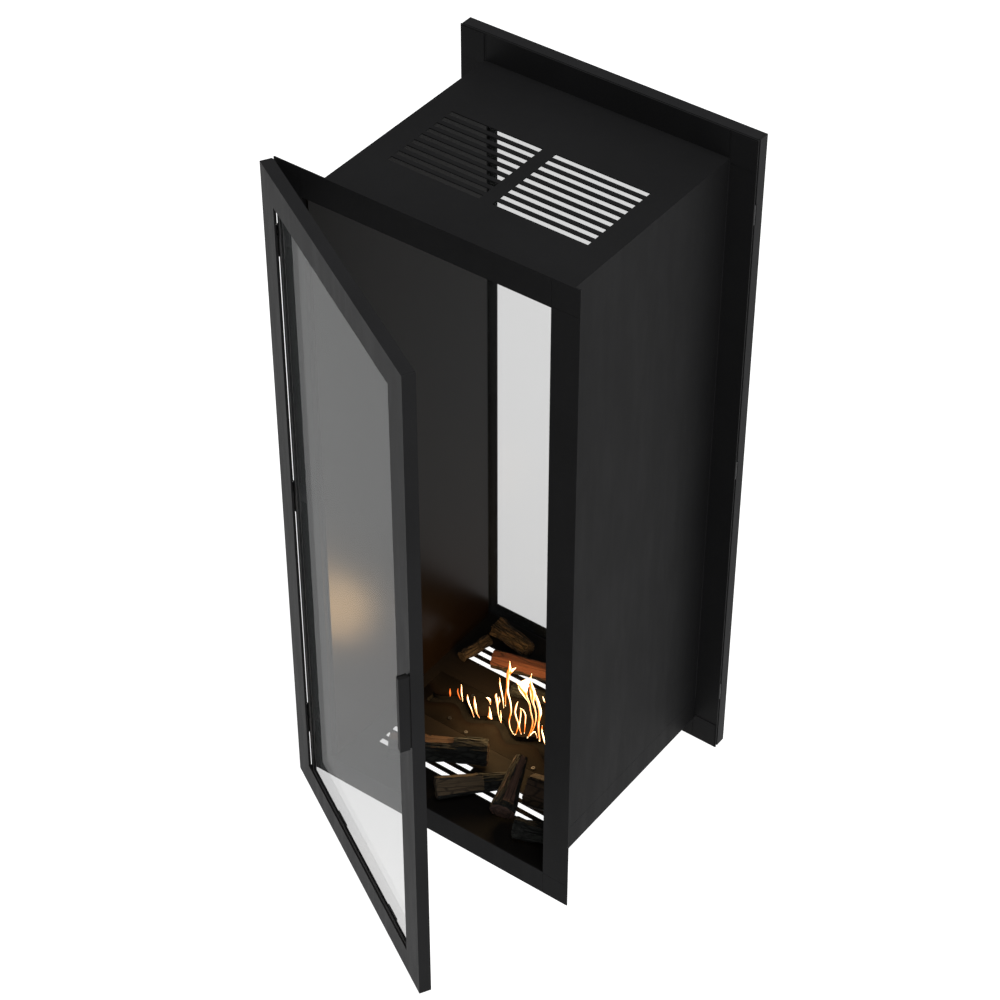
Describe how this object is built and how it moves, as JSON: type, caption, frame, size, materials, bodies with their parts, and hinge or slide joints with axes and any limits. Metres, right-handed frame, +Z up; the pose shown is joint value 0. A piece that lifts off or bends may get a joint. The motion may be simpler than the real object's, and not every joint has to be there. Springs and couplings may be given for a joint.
{
  "type": "see-through built-in fireplace",
  "caption": "Tall narrow see-through fireplace: black sheet-steel tube with folded flanges, glazed door on each side, slotted vents, wavy flame slot and ceramic logs.",
  "frame": {"origin": "centre of the base, on the ground plane, midway between the front and rear flanges", "axes": "+X to the right seen from the front, -Y out of the front door, +Z up"},
  "size_m": [0.5234, 0.7568, 1.2],
  "materials": {
    "carcass_black": "fine matte powder coat",
    "door_black": "fine matte powder coat",
    "liner_bronze": "smooth heat-resistant paint, warm dark brown",
    "burner_plate": "heat-tinted rolled steel",
    "burner_steel": "dulled by heat",
    "fibre": "pressed ceramic fibre",
    "dark_screw": "blackened",
    "pane": "smooth, lightly tinted heat-resistant glass",
    "edge_tape": "woven glass-fibre tape",
    "bracket_black": "satin",
    "pull_core": "heat-insulating moulding",
    "magnet": "ferrite",
    "log_bark": "cast and painted as bark",
    "log_split": "cast and painted as split wood"
  },
  "bodies": {
    "carcass": {"base_panel": "carcass_black", "burner_fibre": "fibre", "burner_screws": "dark_screw", "burner_stand": "burner_steel", "burner_tray": "burner_steel", "burner_trough": "burner_steel", "front_base_flange": "carcass_black", "front_burner_cover": "burner_plate", "front_flange_corners": "carcass_black", "front_flange_hinge_leaves": "bracket_black", "front_hinge_pins": "dark_screw", "left_base_angle": "carcass_black", "left_liner": "liner_bronze", "left_side_panel": "carcass_black", "log_front_left": "log_bark", "log_front_split": "log_split", "log_leaning": "log_split", "log_rear_bark": "log_bark", "log_rear_dark": "log_bark", "log_rear_low": "log_bark", "log_rear_split": "log_split", "log_right_bark": "log_bark", "log_right_split": "log_split", "rear_base_flange": "carcass_black", "rear_burner_cover": "burner_plate", "rear_flange_corners": "carcass_black", "rear_flange_hinge_leaves": "bracket_black", "rear_hinge_pins": "dark_screw", "right_base_angle": "carcass_black", "right_liner": "liner_bronze", "right_side_panel": "carcass_black", "top_panel": "carcass_black"},
    "front_door": {"front_door_clip_screws": "dark_screw", "front_door_frame": "door_black", "front_door_glass": "pane", "front_door_glass_clips": "bracket_black", "front_door_glass_tape": "edge_tape", "front_door_hinge_leaves": "bracket_black", "front_door_magnets": "magnet", "front_door_pull": "door_black", "front_door_pull_core": "pull_core"},
    "rear_door": {"rear_door_clip_screws": "dark_screw", "rear_door_frame": "door_black", "rear_door_glass": "pane", "rear_door_glass_clips": "bracket_black", "rear_door_glass_tape": "edge_tape", "rear_door_hinge_leaves": "bracket_black", "rear_door_magnets": "magnet", "rear_door_pull": "door_black", "rear_door_pull_core": "pull_core"}
  },
  "joints": [
    {"name": "front_door_hinge", "type": "hinge", "parent": "carcass", "child": "front_door", "pos_m": [-0.255, -0.2161, 0.6], "axis": [0, 0, -1], "range_deg": [-30, 65]},
    {"name": "rear_door_hinge", "type": "hinge", "parent": "carcass", "child": "rear_door", "pos_m": [0.255, 0.2161, 0.6], "axis": [0, 0, -1], "range_deg": [0, 95]}
  ]
}
